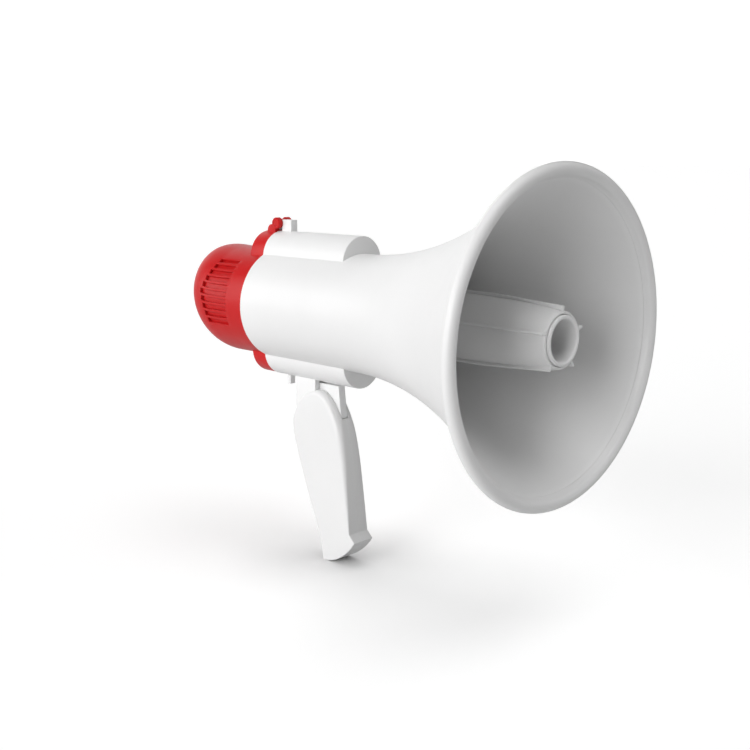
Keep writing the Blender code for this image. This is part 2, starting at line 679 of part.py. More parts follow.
def rear_cap():
    """Domed cap with a lobe over each pod, vent slots, and ears for the hinge pin on top."""
    front = SEAM_X - GAP
    ahead = front + 3 * MM
    cap = lift_dome(bake(turned("rear_cap", [(ahead, 0)] + dome_points(0, ahead), BIG)))
    for word, side in (("top", 1), ("bottom", -1)):
        lobe = along_x(f"lobe_{word}", (LOBE_X / MM, ahead / MM + 1), side * POD_Z, LOBE_R, 36)
        join(cap, lobe)
    base = plate("hinge_base", [(-274, 52), (-274, 62.8), (-285.5, 62.8), (-288.0, 60.5), (-288.8, 52)],
                 7.4 * MM)
    join(cap, base)
    combine(cap, box("front_trim", (front, -0.1, -0.1), (front + 20 * MM, 0.1, 0.1)))
    for side in (-1, 1):
        ear = rod("ear", (HINGE.x, side * 2.9 * MM, HINGE.z), (HINGE.x, side * 7.5 * MM, HINGE.z),
                  4.6 * MM, 24)
        join(cap, ear)
    combine(cap, rod("hook_way", (HINGE.x, -2.9 * MM, HINGE.z), (HINGE.x, 2.9 * MM, HINGE.z), 5.6 * MM, 24))
    combine(cap, rod("pin_bore", (HINGE.x, -6.2 * MM, HINGE.z), (HINGE.x, 6.2 * MM, HINGE.z), 3.6 * MM, 24))
    inner = dome_points(CAP_WALL, front + 8 * MM)
    combine(cap, lift_dome(bake(turned("cap_cavity", [(front + 8 * MM, 0)] + inner, BIG))))
    for word, side in (("top", 1), ("bottom", -1)):
        hollow = along_x(f"lobe_hollow_{word}", (LOBE_X / MM + 1.9, -270), side * POD_Z,
                         LOBE_R - 2.2 * MM, 36)
        combine(cap, hollow)
    combine(cap, slot_cutters())
    combine(cap, along_x("mic_seat", (-370, MIC.x / MM), MIC.z, 12.3 * MM, 24))
    combine(cap, along_x("mic_hole", (-370, -340), MIC.z, 9.5 * MM, 24))
    combine(cap, along_x("knob_seat", (-370, KNOB.x / MM), KNOB.z, 10.8 * MM, 24))
    combine(cap, along_x("pot_hole", (-370, -340), KNOB.z, 3.6 * MM, 16))
    return cap


def vent_liner(word, side):
    """Thin backing behind one side's slots, which keeps dust and fingers out."""
    front, back = -297 * MM, -337 * MM
    outer = CAP_R - CAP_WALL - 0.4 * MM
    count = 3
    xs = [front + (back - front) * k / count for k in range(count + 1)]

    def shrink(x):
        part = max(0.0, (DOME_X - x) / DOME_LENGTH)
        return (1 - part ** 2.5) ** 0.26

    skin = [(x, outer * shrink(x)) for x in xs]
    back_skin = [(x, r - 1.2 * MM) for x, r in reversed(skin)]
    liner = lift_dome(bake(turned(f"vent_liner_{word}", skin + back_skin, BIG)))
    near, far = (22, 50) if side > 0 else (-50, -22)
    combine(liner, mm_box(f"liner_part_{word}", (-345, -290), (near, far), (-19.5, 35.6)), "INTERSECT")
    return liner


def mic_grille():
    """Round perforated cover over the microphone, set in the back of the cap."""
    z = MIC.z
    grille = along_x("mic_grille", (-360.6, MIC.x / MM - 0.3), z, 12.0 * MM, MEDIUM)
    for ring, count in ((0, 1), (5.2, 6)):
        for k in range(count):
            angle = math.tau * k / count
            y, up = ring * MM * math.cos(angle), z + ring * MM * math.sin(angle)
            combine(grille, rod("grille_hole", (-365 * MM, y, up), (-350 * MM, y, up), 1.6 * MM, 6))
    return grille


def mic_parts():
    z = MIC.z
    boot = turned("mic_boot", [(x * MM, r * MM) for x, r in (
        (-347.0, 9.0), (-358.0, 9.0), (-358.0, 5.1), (-347.0, 5.1))], 24, (0, z))
    capsule = along_x("mic_capsule", (-357.5, -351.0), z, 4.8 * MM, 20)
    return boot, capsule


def volume_parts():
    """Potentiometer on the inside of the cap and the knob on its shaft."""
    z = KNOB.z
    pot = turned("volume_pot", [(x * MM, r * MM) for x, r in (
        (-343.5, 0), (-343.5, 8), (-352.0, 8), (-352.0, 3.3), (-358.5, 3.3), (-358.5, 2.4), (-364.5, 2.4),
        (-364.5, 0))], 20, (0, z))
    knob = turned("volume_knob", [(x * MM, r * MM) for x, r in (
        (-358.8, 9.5), (-365.5, 8.8), (-366.5, 8.0), (-366.5, 0), (-364.9, 0), (-364.9, 2.7), (-358.8, 2.7))],
        MEDIUM, (0, z))
    combine(knob, mm_box("pointer_groove", (-368, -365.9), (-0.6, 0.6), (z / MM + 1.5, z / MM + 10)))
    return pot, knob


# ---------------------------------------------------------------- assembly

def build():
    white = material("white_plastic", WHITE, 0.35)
    red = material("red_plastic", RED, 0.35)
    grey = material("grey_plastic", (0.35, 0.35, 0.36), 0.5)
    steel = material("steel", (0.6, 0.6, 0.62), 0.3, 1.0)
    ferrite = material("ferrite", (0.05, 0.05, 0.055), 0.7)
    mylar = material("mylar", (0.55, 0.35, 0.12), 0.3)
    black = material("black_rubber", (0.03, 0.03, 0.03), 0.8)
    board_green = material("circuit_board", (0.02, 0.18, 0.07), 0.4)
    label = material("cell_jacket", (0.06, 0.07, 0.09), 0.4)
    brass = material("brass", (0.75, 0.55, 0.25), 0.3, 1.0)
    wire_red = material("red_wire", (0.6, 0.02, 0.02), 0.5)
    wire_black = material("black_wire", (0.02, 0.02, 0.02), 0.5)

    horn = empty("horn_axis", Vector((0, 0, 0)))
    cap_axis = empty("cap_hinge_axis", HINGE, horn)
    fold_axis = empty("handle_fold_axis", FOLD, horn)
    squeeze_axis = empty("trigger_axis", SQUEEZE, fold_axis)
    latch_axis = empty("latch_axis", LATCH, horn)
    knob_axis = empty("knob_axis", KNOB, cap_axis)

    done(horn_shell(), white, horn)
    done(rim_ring(), white, horn)
    done(reflector_sleeve(), white, horn)
    done(reflector_cup(), white, horn)
    done(throat_tube(), white, horn)
    disc, frame, dome, magnet, yoke, screws = driver_parts()
    done(disc, white, horn)
    done(frame, grey, horn)
    done(dome, mylar, horn)
    done(magnet, ferrite, horn)
    done(yoke, steel, horn)
    for screw in screws:
        done(screw, steel, horn)
    paints = {"tube": grey, "spring": steel, "cell": label}
    for kind, piece in battery_parts():
        done(piece, paints[kind], horn)
    board, posts, screws, transformer, capacitor, sink = electronics()
    done(board, board_green, horn)
    done(transformer, ferrite, horn)
    done(capacitor, label, horn)
    done(sink, steel, horn)
    for post in posts:
        done(post, white, horn)
    for screw in screws:
        done(screw, steel, horn)
    lug, screw = hinge_lug()
    done(lug, white, horn)
    done(screw, steel, horn)
    bracket = handle_bracket()
    for screw in bracket_screws(bracket):
        done(screw, steel, horn)
    done(bracket, white, horn)
    done(wire("speaker_wire_red", [(-225, 27, 10), (-219, 22, 9), (-208, 22, 7), (-198, 26, 6),
                                   (-188, 24, 6)], 0.8 * MM), wire_red, horn)
    done(wire("speaker_wire_black", [(-225, 27, 6), (-218, 24, 4), (-208, 25, 2), (-198, 27, 1),
                                     (-190, 24, 1)], 0.8 * MM), wire_black, horn)

    leaf, button = latch_parts()
    done(leaf, steel, latch_axis)
    done(button, white, latch_axis)

    done(rear_cap(), red, cap_axis)
    done(rod("hinge_pin", (HINGE.x, -6.0 * MM, HINGE.z), (HINGE.x, 6.0 * MM, HINGE.z), 3.4 * MM, 24),
         red, cap_axis)
    done(vent_liner("left", 1), red, cap_axis)
    done(vent_liner("right", -1), red, cap_axis)
    done(mic_grille(), grey, cap_axis)
    boot, capsule = mic_parts()
    done(boot, black, cap_axis)
    done(capsule, steel, cap_axis)
    for word, side in (("top", 1), ("bottom", -1)):
        strip = along_x(f"contact_strip_{word}", (-292.6, -292.1), side * POD_Z, 8 * MM, 20)
        done(strip, brass, cap_axis)
    pot, knob = volume_parts()
    done(pot, steel, cap_axis)
    done(knob, grey, knob_axis)

    for half in handle_halves():
        done(half, white, fold_axis)
    for screw in handle_screws():
        done(screw, steel, fold_axis)
    done(rod("fold_pin", (FOLD.x, -9.4 * MM, FOLD.z), (FOLD.x, 9.4 * MM, FOLD.z), 2.2 * MM), steel, fold_axis)
    done(rod("trigger_pin", (SQUEEZE.x, -9.4 * MM, SQUEEZE.z), (SQUEEZE.x, 9.4 * MM, SQUEEZE.z), 1.4 * MM),
         steel, fold_axis)
    done(coil("trigger_spring", (-223.5 * MM, 0, -93 * MM), (-230.0 * MM, 0, -96 * MM), 2.2 * MM, 0.3 * MM, 3),
         steel, fold_axis)
    done(mm_box("talk_switch", (-234, -222.5), (-3, 3), (-110, -102)), black, fold_axis)
    done(trigger(), white, squeeze_axis)


build()
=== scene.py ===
import json
import math

import bmesh
import bpy
from mathutils import Matrix, Vector


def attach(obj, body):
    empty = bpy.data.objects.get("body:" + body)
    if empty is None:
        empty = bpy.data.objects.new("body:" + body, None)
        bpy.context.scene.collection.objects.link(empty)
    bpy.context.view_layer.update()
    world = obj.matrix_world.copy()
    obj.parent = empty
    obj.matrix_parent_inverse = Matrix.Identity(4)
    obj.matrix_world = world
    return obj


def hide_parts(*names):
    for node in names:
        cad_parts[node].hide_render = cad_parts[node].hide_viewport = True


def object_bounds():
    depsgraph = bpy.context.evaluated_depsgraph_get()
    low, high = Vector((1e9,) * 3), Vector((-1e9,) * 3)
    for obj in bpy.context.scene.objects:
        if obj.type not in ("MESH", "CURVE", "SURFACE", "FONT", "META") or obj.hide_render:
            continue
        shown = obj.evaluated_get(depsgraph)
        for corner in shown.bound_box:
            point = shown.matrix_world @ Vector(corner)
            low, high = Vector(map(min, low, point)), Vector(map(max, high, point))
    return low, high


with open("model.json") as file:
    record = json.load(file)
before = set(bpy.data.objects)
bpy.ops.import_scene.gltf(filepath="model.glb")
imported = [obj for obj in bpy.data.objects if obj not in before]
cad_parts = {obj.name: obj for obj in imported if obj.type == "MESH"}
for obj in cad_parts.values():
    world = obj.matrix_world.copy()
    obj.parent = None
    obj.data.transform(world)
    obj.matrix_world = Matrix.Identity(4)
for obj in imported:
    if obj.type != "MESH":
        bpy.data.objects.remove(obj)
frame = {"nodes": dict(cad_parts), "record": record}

CAD_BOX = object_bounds()

# Shapes are drawn in millimetres on the horn's own axes: X runs out of the mouth, whose plane is
# X = 0, and Z is up. place() carries them to the frame, whose origin is the middle of the grip.
MM = 0.001
GRIP = Vector((-221.0, 0.0, -132.0))

# Horn and pods
RIM_R, BEAD_R = 115.0, 4.6
BARREL_R, WALL = 45.6, 2.0
SEAM_X, FLARE_X, MOUTH_X = -278.2, -177.9, -3.0
FLARE = 0.001997                    # growth of the radius with distance squared
POD_Z, POD_R, POD_FRONT_X = 38.5, 20.6, -185.0
POD_WALL = 2.2
FILLET = 0.8                        # hollow corner between a pod and the barrel

# Rear cap
CAP_R, CAP_WALL, CAP_FRONT_X = 44.4, 2.0, -278.5
LOBE_R, LOBE_X = 20.3, -294.8
DOME_X, DOME_LENGTH, DOME_LIFT = -322.0, 39.0, 9.2
DOME_CLOSE, DOME_BLUNT = 2.5, 0.26  # powers: how late the dome closes, and how blunt its tip is
LIFT_POWER = 1.66                   # how late the dome's axis rises towards its tip
NEAR_TIP = 0.86                     # share of the dome's length where its rows close up
SLOTS, MIDDLE_SLOT = 10, 5
SLOT_FRONT_X = -299.0
SLOT_BACK_X, SLOT_BACK_STEP = -334.3, 2.1   # back end of the middle slot; each next one is shorter
SLOT_EDGE = 0.32                    # rounding of the slots' rims
SLOT_HALF = 2.55                    # degrees
SLOT_TOP, SLOT_STEP = 49.2, 7.67    # degrees

# Joints and seats
HINGE = Vector((-278.1, 0, 65.3))
FOLD = Vector((-238.0, 0, -87.4))
SQUEEZE = Vector((-211.6, 0, -98.9))
KNOB = Vector((-357.6, 0, -11.0))
MIC = Vector((-358.6, 0, 17.0))

HANDLE_HALF, BRACKET_HALF, BLADE_HALF = 10.5, 8.6, 3.5

FINE = 192                          # steps round the large turned pieces
MEDIUM = 96
SMALL = 40


# ---------------------------------------------------------------- meshes

def mesh_object(name, verts, faces):
    mesh = bpy.data.meshes.new(name)
    mesh.from_pydata([tuple(v) for v in verts], [], faces)
    bm = bmesh.new()
    bm.from_mesh(mesh)
    bmesh.ops.recalc_face_normals(bm, faces=bm.faces)
    bm.to_mesh(mesh)
    bm.free()
    obj = bpy.data.objects.new(name, mesh)
    bpy.context.scene.collection.objects.link(obj)
    return obj


def stitch(rings, closed):
    """Faces between rings of vertex numbers; a ring of one number is a point on the axis."""
    faces = []
    pairs = list(zip(rings, rings[1:]))
    if closed:
        pairs.append((rings[-1], rings[0]))
    for here, there in pairs:
        count = max(len(here), len(there))
        for k in range(count):
            j = (k + 1) % count
            if len(here) == 1:
                faces.append((here[0], there[k], there[j]))
            elif len(there) == 1:
                faces.append((here[k], here[j], there[0]))
            else:
                faces.append((here[k], here[j], there[j], there[k]))
    return faces


def turned(name, profile, steps=MEDIUM, centre=(0.0, 0.0)):
    """Turn an outline of (x, radius) points about a line along X."""
    verts, rings = [], []
    for x, radius in profile:
        count = 1 if radius == 0 else steps
        rings.append(list(range(len(verts), len(verts) + count)))
        for k in range(count):
            angle = math.tau * k / steps
            verts.append((x, centre[0] + radius * math.cos(angle), centre[1] + radius * math.sin(angle)))
    return mesh_object(name, verts, stitch(rings, profile[0][1] > 0))


def settle(obj):
    """Replace an object's mesh with what its modifiers make of it."""
    graph = bpy.context.evaluated_depsgraph_get()
    mesh = bpy.data.meshes.new_from_object(obj.evaluated_get(graph))
    obj.modifiers.clear()
    old = obj.data
    obj.data = mesh
    bpy.data.meshes.remove(old)
    return obj


def combine(obj, tool, operation="DIFFERENCE", use_self=False):
    modifier = obj.modifiers.new("combine", "BOOLEAN")
    modifier.operation = operation
    modifier.solver = "EXACT"
    modifier.use_self = use_self
    modifier.object = tool
    settle(obj)
    bpy.data.objects.remove(tool)
    return obj


def rounded(obj, width, segments=3, angle=35.0):
    bevel = obj.modifiers.new("round", "BEVEL")
    bevel.width = width
    bevel.segments = segments
    bevel.limit_method = "ANGLE"
    bevel.angle_limit = math.radians(angle)
    bevel.use_clamp_overlap = True
    return settle(obj)


def box(name, x, y, z):
    verts = [(a, b, c) for a in x for b in y for c in z]
    faces = [(0, 1, 3, 2), (4, 6, 7, 5), (0, 4, 5, 1), (2, 3, 7, 6), (0, 2, 6, 4), (1, 5, 7, 3)]
    return mesh_object(name, verts, faces)


def rod(name, start, end, radius, steps=SMALL):
    start, end = Vector(start), Vector(end)
    turn = (end - start).to_track_quat("Z", "Y")
    verts = []
    for at in (start, end):
        for k in range(steps):
            angle = math.tau * k / steps
            verts.append(at + turn @ Vector((radius * math.cos(angle), radius * math.sin(angle), 0)))
    rings = [list(range(steps)), list(range(steps, 2 * steps))]
    return mesh_object(name, verts, stitch(rings, False) + [rings[0], rings[1]])


def smooth_run(points, parts=8):
    """A soft curve through the points, ending just before the last of them."""
    corners = [Vector(p) for p in points]
    made = []
    for k in range(len(corners) - 1):
        before, after = corners[max(k - 1, 0)], corners[min(k + 2, len(corners) - 1)]
        here, there = corners[k], corners[k + 1]
        for j in range(parts):
            t = j / parts
            made.append(0.5 * (2 * here + (there - before) * t
                               + (2 * before - 5 * here + 4 * there - after) * t * t
                               + (3 * here - before - 3 * there + after) * t ** 3))
    return made


def inward(outline):
    """At each point of a closed outline, the step inwards that keeps its edges parallel."""
    area = sum(a.x * b.y - b.x * a.y for a, b in zip(outline, outline[1:] + outline[:1]))
    sign = 1 if area > 0 else -1
    steps = []
    for k, at in enumerate(outline):
        one = (at - outline[k - 1]).normalized()
        two = (outline[(k + 1) % len(outline)] - at).normalized()
        middle = Vector((-(one.y + two.y), one.x + two.x)) * sign
        middle.normalize()
        cosine = max(0.4, abs(middle.dot(Vector((-one.y, one.x)))))
        steps.append(middle / cosine)
    return steps


def slab(name, outline, near, far, near_round=0.0, far_round=0.0, turns=4):
    """A plate between two Y values, its outline in the XZ plane, with rounded edges.

    A rounding is one number or one for each point of the outline.
    """
    outline = [Vector(p) for p in outline]
    steps = inward(outline)
    direction = 1 if far > near else -1
    verts, rings = [], []

    def add_ring(y, rounding, angle):
        rings.append(list(range(len(verts), len(verts) + len(outline))))
        for k, (at, step) in enumerate(zip(outline, steps)):
            r = rounding[k] if isinstance(rounding, list) else rounding
            place = at + step * (r * (1 - math.sin(angle)))
            verts.append((place.x, y(r * (1 - math.cos(angle))), place.y))

    quarter = math.pi / 2
    for k in range(turns + 1 if near_round else 1):
        angle = quarter * k / turns if near_round else quarter
        add_ring(lambda d: near + direction * d, near_round, angle)
    for k in range(turns + 1 if far_round else 1):
        angle = quarter * (1 - k / turns) if far_round else quarter
        add_ring(lambda d: far - direction * d, far_round, angle)
    return mesh_object(name, verts, stitch(rings, False) + [rings[0], rings[-1]])


def polygon(points):
    return [Vector(p) for p in points]


def place(obj, body, nodes, slot, sharp=40.0, weighted=False):
    """Carry a drawn shape to the frame, hang it from the body that moves it and hide the parts it stands
    for.
    """
    obj.data.transform(Matrix.Scale(MM, 4) @ Matrix.Translation(-GRIP))
    obj.data.shade_smooth()
    obj.data.set_sharp_from_angle(angle=math.radians(sharp))
    if weighted:
        normals = obj.modifiers.new("normals", "WEIGHTED_NORMAL")
        normals.keep_sharp = True
    obj.data.materials.clear()
    obj.data.materials.append(PAINTS[slot])
    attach(obj, body)
    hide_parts(*nodes)
    return obj


# ---------------------------------------------------------------- finishes

class Recipe:
    """A material under construction, with short calls for its nodes."""

    def __init__(self, name):
        self.material = bpy.data.materials.new(name)
        self.material.use_nodes = True
        self.tree = self.material.node_tree
        self.shader = self.tree.nodes["Principled BSDF"]
        self.where = self.tree.nodes.new("ShaderNodeTexCoord").outputs["Object"]

    def constant(self, **sockets):
        for name, value in sockets.items():
            self.shader.inputs[name.replace("_", " ")].default_value = value

    def noise(self, scale, detail=2.0, stretch=None):
        where = self.where
        if stretch:
            mapping = self.tree.nodes.new("ShaderNodeMapping")
            mapping.inputs["Scale"].default_value = stretch
            self.tree.links.new(where, mapping.inputs["Vector"])
            where = mapping.outputs["Vector"]
        made = self.tree.nodes.new("ShaderNodeTexNoise")
        made.inputs["Scale"].default_value = scale
        made.inputs["Detail"].default_value = detail
        self.tree.links.new(where, made.inputs["Vector"])
        return made.outputs["Fac"]

    def between(self, value, low, high, low_colour, high_colour):
        """Colours blended over a range of a value."""
        ramp = self.tree.nodes.new("ShaderNodeValToRGB")
        ramp.color_ramp.elements[0].position = low
        ramp.color_ramp.elements[1].position = high
        ramp.color_ramp.elements[0].color = (*low_colour, 1)
        ramp.color_ramp.elements[1].color = (*high_colour, 1)
        self.tree.links.new(value, ramp.inputs["Fac"])
        return ramp.outputs["Color"]

    def mapped(self, value, low, high):
        made = self.tree.nodes.new("ShaderNodeMapRange")
        made.inputs["From Min"].default_value = 0.3
        made.inputs["From Max"].default_value = 0.7
        made.inputs["To Min"].default_value = low
        made.inputs["To Max"].default_value = high
        self.tree.links.new(value, made.inputs["Value"])
        return made.outputs["Result"]

    def mixed(self, factor, one, two):
        made = self.tree.nodes.new("ShaderNodeMix")
        made.data_type = "RGBA"
        self.tree.links.new(factor, made.inputs["Factor"])
        for socket, colour in ((6, one), (7, two)):
            if isinstance(colour, tuple):
                made.inputs[socket].default_value = (*colour, 1)
            else:
                self.tree.links.new(colour, made.inputs[socket])
        return made.outputs[2]

    def edges(self, low=0.52, high=0.60):
        """White along raised edges: the mask for a painted highlight where their rounding would catch the
        light.
        """
        geometry = self.tree.nodes.new("ShaderNodeNewGeometry")
        return self.between(geometry.outputs["Pointiness"], low, high, (0, 0, 0), (1, 1, 1))

    def bump(self, height, strength, distance):
        made = self.tree.nodes.new("ShaderNodeBump")
        made.inputs["Strength"].default_value = strength
        made.inputs["Distance"].default_value = distance
        self.tree.links.new(height, made.inputs["Height"])
        self.tree.links.new(made.outputs["Normal"], self.shader.inputs["Normal"])

    def drive(self, socket, value):
        self.tree.links.new(value, self.shader.inputs[socket])


def scaled(colour, factor):
    return tuple(min(1.0, c * factor) for c in colour)


def plastic(name, colour, roughness, grain=2600.0, depth=0.00003, edge_highlight=1.06, gloss=0.5):
    """Moulded plastic: faint cloudiness, fine spark-eroded grain and a painted highlight along raised
    edges.
    """
    recipe = Recipe(name)
    cloud = recipe.between(recipe.noise(14.0, 3.0), 0.35, 0.65, scaled(colour, 0.975), colour)
    # Painted highlight: raised edges are mixed towards a lighter copy of the colour.
    recipe.drive("Base Color", recipe.mixed(recipe.edges(), cloud, scaled(colour, edge_highlight)))
    recipe.drive("Roughness", recipe.mapped(recipe.noise(90.0, 4.0), roughness - 0.03, roughness + 0.04))
    recipe.bump(recipe.noise(grain, 2.0), 0.25, depth)
    recipe.constant(IOR=1.46, Specular_IOR_Level=gloss)
    return recipe.material


def metal(name, colour, roughness, stretch=(1.0, 1.0, 12.0), bump=0.00002):
    recipe = Recipe(name)
    streaks = recipe.noise(700.0, 3.0, stretch)
    recipe.drive("Base Color", recipe.between(streaks, 0.3, 0.7, scaled(colour, 0.85), colour))
    recipe.drive("Roughness", recipe.mapped(streaks, roughness - 0.06, roughness + 0.08))
    recipe.bump(streaks, 0.2, bump)
    recipe.constant(Metallic=1.0)
    return recipe.material


def dull(name, colour, roughness, grain, depth):
    recipe = Recipe(name)
    speck = recipe.noise(grain, 4.0)
    recipe.drive("Base Color", recipe.between(speck, 0.3, 0.7, scaled(colour, 0.7), scaled(colour, 1.2)))
    recipe.drive("Roughness", recipe.mapped(speck, roughness - 0.08, roughness + 0.08))
    recipe.bump(speck, 0.4, depth)
    return recipe.material


def board_finish():
    """Green solder mask over copper tracks, which show as paler square-cornered paths."""
    recipe = Recipe("circuit_board")
    cells = recipe.tree.nodes.new("ShaderNodeTexVoronoi")
    cells.distance = "CHEBYCHEV"
    cells.feature = "DISTANCE_TO_EDGE"
    cells.inputs["Scale"].default_value = 260.0
    recipe.tree.links.new(recipe.where, cells.inputs["Vector"])
    tracks = recipe.between(cells.outputs["Distance"], 0.04, 0.09, (0.05, 0.30, 0.10), (0.012, 0.12, 0.04))
    recipe.drive("Base Color", tracks)
    recipe.drive("Roughness", recipe.mapped(recipe.noise(300.0), 0.28, 0.4))
    recipe.bump(cells.outputs["Distance"], 0.3, 0.00006)
    return recipe.material


PAINTS = {
    "white_plastic": plastic("white_plastic", (0.75, 0.75, 0.75), 0.36),
    "trigger_plastic": plastic("trigger_plastic", (0.75, 0.75, 0.75), 0.36),
    "red_plastic": plastic("red_plastic", (0.50, 0.009, 0.010), 0.36, edge_highlight=1.15, gloss=0.25),
    "grey_plastic": plastic("grey_plastic", (0.16, 0.16, 0.17), 0.45, depth=0.00006, edge_highlight=1.4),
    "steel": metal("steel", (0.62, 0.62, 0.63), 0.3),
    "brass": metal("brass", (0.75, 0.55, 0.25), 0.3),
    "capacitor_can": metal("capacitor_can", (0.6, 0.6, 0.62), 0.38, (12.0, 1.0, 1.0)),
    "ferrite": dull("ferrite", (0.05, 0.05, 0.055), 0.7, 1500.0, 0.0001),
    "black_rubber": dull("black_rubber", (0.025, 0.025, 0.026), 0.75, 2200.0, 0.00005),
    "mylar": plastic("mylar", (0.55, 0.35, 0.12), 0.25),
    "cell_jacket": plastic("cell_jacket", (0.05, 0.055, 0.07), 0.3, 900.0, 0.00001, 1.3),
    "circuit_board": board_finish(),
    "red_wire": plastic("red_wire", (0.5, 0.015, 0.015), 0.5),
    "black_wire": plastic("black_wire", (0.02, 0.02, 0.02), 0.5),
}


# ---------------------------------------------------------------- horn

def horn_radius(x):
    return BARREL_R + FLARE * max(0.0, x - FLARE_X) ** 2


def horn_inner_radius(x):
    slope = 2 * FLARE * max(0.0, x - FLARE_X)
    return horn_radius(x) - WALL * math.sqrt(1 + slope ** 2)


def lobe_section(radius, body_radius, sink):
    """Half-moon section of a lobe on a round body, with hollow fillets where the two meet.

    The points run from one side to the other as (y, z), z measured from the body's axis.
    """
    reach, across = body_radius + FILLET, radius + FILLET
    up = (reach ** 2 + POD_Z ** 2 - across ** 2) / (2 * POD_Z)
    out = math.sqrt(reach ** 2 - up ** 2)
    to_body = math.atan2(-up, -out)
    to_pod = math.atan2(POD_Z - up, -out)
    side = []
    for k in range(7):
        angle = to_body + (to_pod - to_body) % -math.tau * k / 6
        side.append((out + FILLET * math.cos(angle), up + FILLET * math.sin(angle)))
    first = math.atan2(side[-1][1] - POD_Z, side[-1][0])
    crown = []
    for k in range(1, 36):
        angle = first + (math.pi / 2 - first) * k / 36
        crown.append((radius * math.cos(angle), POD_Z + radius * math.sin(angle)))
    foot = (side[0][0] * sink, side[0][1] * sink)
    right = [foot] + side + crown
    return right + [(0, POD_Z + radius)] + [(-y, z) for y, z in reversed(right)]


def lobe(name, side, radius, body_radius, ends, rounding, core):
    """A battery lobe: its section carried along X, one end rounded, cut back to a core radius."""
    section = [Vector(p) for p in lobe_section(radius, body_radius, 0.985)]
    steps = inward(section)
    blunt, soft = ends
    direction = 1 if soft > blunt else -1
    verts, rings = [], []
    turns = 5
    stations = [(blunt, 0.0)]
    for k in range(turns + 1):
        angle = math.pi / 2 * k / turns
        along = soft - direction * rounding * (1 - math.sin(angle))
        stations.append((along, rounding * (1 - math.cos(angle))))
    for x, inset in stations:
        rings.append(list(range(len(verts), len(verts) + len(section))))
        for k, (at, step) in enumerate(zip(section, steps)):
            from_body = min(k, len(section) - 1 - k)
            spot = at + step * inset * min(1.0, max(0, from_body - 1) / 6)
            verts.append((x, spot.x, side * spot.y))
    made = mesh_object(name, verts, stitch(rings, False) + [rings[0], rings[-1]])
    past = 30 * direction
    return combine(made, rod("core", (blunt - past, 0, 0), (soft + past, 0, 0), core, FINE), use_self=True)


def horn_shell():
    """Barrel, bell and both pods in one moulding, open at both ends."""
    count = 44
    bell = [MOUTH_X + (FLARE_X - MOUTH_X) * k / count for k in range(count + 1)]
    outer = [(x, horn_radius(x)) for x in bell] + [(-195, BARREL_R), (SEAM_X + 0.3, BARREL_R),
                                                   (SEAM_X, BARREL_R - 0.3)]
    inner = [(SEAM_X, BARREL_R - WALL)] + [(x, horn_inner_radius(x)) for x in reversed(bell)]
    shell = turned("horn_moulding", outer + inner, FINE)
    for word, side in (("top", 1), ("bottom", -1)):
        combine(shell, lobe(f"pod_{word}", side, POD_R, BARREL_R, (SEAM_X, POD_FRONT_X), 0.7,
                            BARREL_R - 1.0), "UNION")
        combine(shell, rod("hollow", (-290, 0, side * POD_Z), (POD_FRONT_X - 2.3, 0, side * POD_Z),
                           POD_R - POD_WALL, MEDIUM))
    combine(shell, box("latch_hole", (-271.3, -267.1), (-3.0, 3.0), (-64, -50)))
    place(shell, "horn", ["horn_shell"], "white_plastic", 28.0)


def rim_ring():
    centre_x, centre_r = -1.2, RIM_R - BEAD_R
    first, last = math.radians(-84.5), math.radians(236)     # from the inner crease round to the back
    count = 30
    profile = []
    for k in range(count + 1):
        angle = first + (last - first) * k / count
        profile.append((centre_x + BEAD_R * math.cos(angle), centre_r + BEAD_R * math.sin(angle)))
    seat = MOUTH_X + 0.15
    profile += [(seat, horn_radius(MOUTH_X) + 0.2), (seat, horn_inner_radius(MOUTH_X) + 0.1)]
    place(turned("rim_bead", profile, 256), "horn", ["rim_ring"], "white_plastic", 28.0)


def sleeve_radius(x):
    return 19.4 + 5.6 * (1 - math.exp(x / 32))


def fin_radius(x):
    return 23.0 + 3.6 * min(1.0, -x / 62)


def reflector_sleeve():
    front, back, wall = 0.8, -150.0, 2.0
    xs = [front - 1.1 + (back - front) * (k / 28) ** 1.4 for k in range(29)]
    lip = [(front - 1.1 + 1.1 * math.sin(a), sleeve_radius(front) - 0.9 * (1 - math.cos(a)))
           for a in (math.radians(d) for d in (90, 70, 50, 30, 15))]
    outer = lip + [(x, sleeve_radius(x)) for x in xs]
    inner = [(x, sleeve_radius(x) - wall) for x in reversed(xs)] + [(front - 0.3, 17.50), (front, 17.85)]
    sleeve = turned("sound_sleeve", outer + inner, FINE)
    for k, degrees in enumerate((90, 18, -54, -126, 162)):
        foot = -171.7
        crest = [(front + 0.25 - 58 * j / 8, fin_radius(front - 58 * j / 8)) for j in range(9)]
        under = [(foot, 23.6), (-140, 23.6), (-62, 22.9), (-30, 21.4), (front + 0.25, 18.1)]
        outline = polygon(crest + [(foot, fin_radius(-62))] + under)
        fin = slab(f"fin_{k}", outline, -0.95, 0.95, 0.45, 0.45, 3)
        fin.data.transform(Matrix.Rotation(math.radians(degrees - 90), 4, "X"))
        combine(sleeve, fin, "UNION")
    place(sleeve, "horn", ["reflector_sleeve"], "white_plastic", 30.0)


def reflector_cup():
    lip_x, lip_r, half = 1.2, 15.65, 1.45
    profile = [(-27.8, 0), (-27.4, 8.0), (-26.4, 10.6), (-24.3, 12.2), (-21.8, 12.8), (-1.0, 14.1)]
    for k in range(13):
        angle = math.pi * (1 - k / 12)
        profile.append((lip_x + 1.5 * math.sin(angle), lip_r + half * math.cos(angle)))
    profile += [(-21.8, 17.1), (-25.8, 16.4), (-31.8, 13.0), (-37.8, 9.0), (-41.8, 5.0), (-43.8, 0)]
    place(turned("sound_cup", profile, FINE), "horn", ["reflector_cup"], "white_plastic", 40.0)


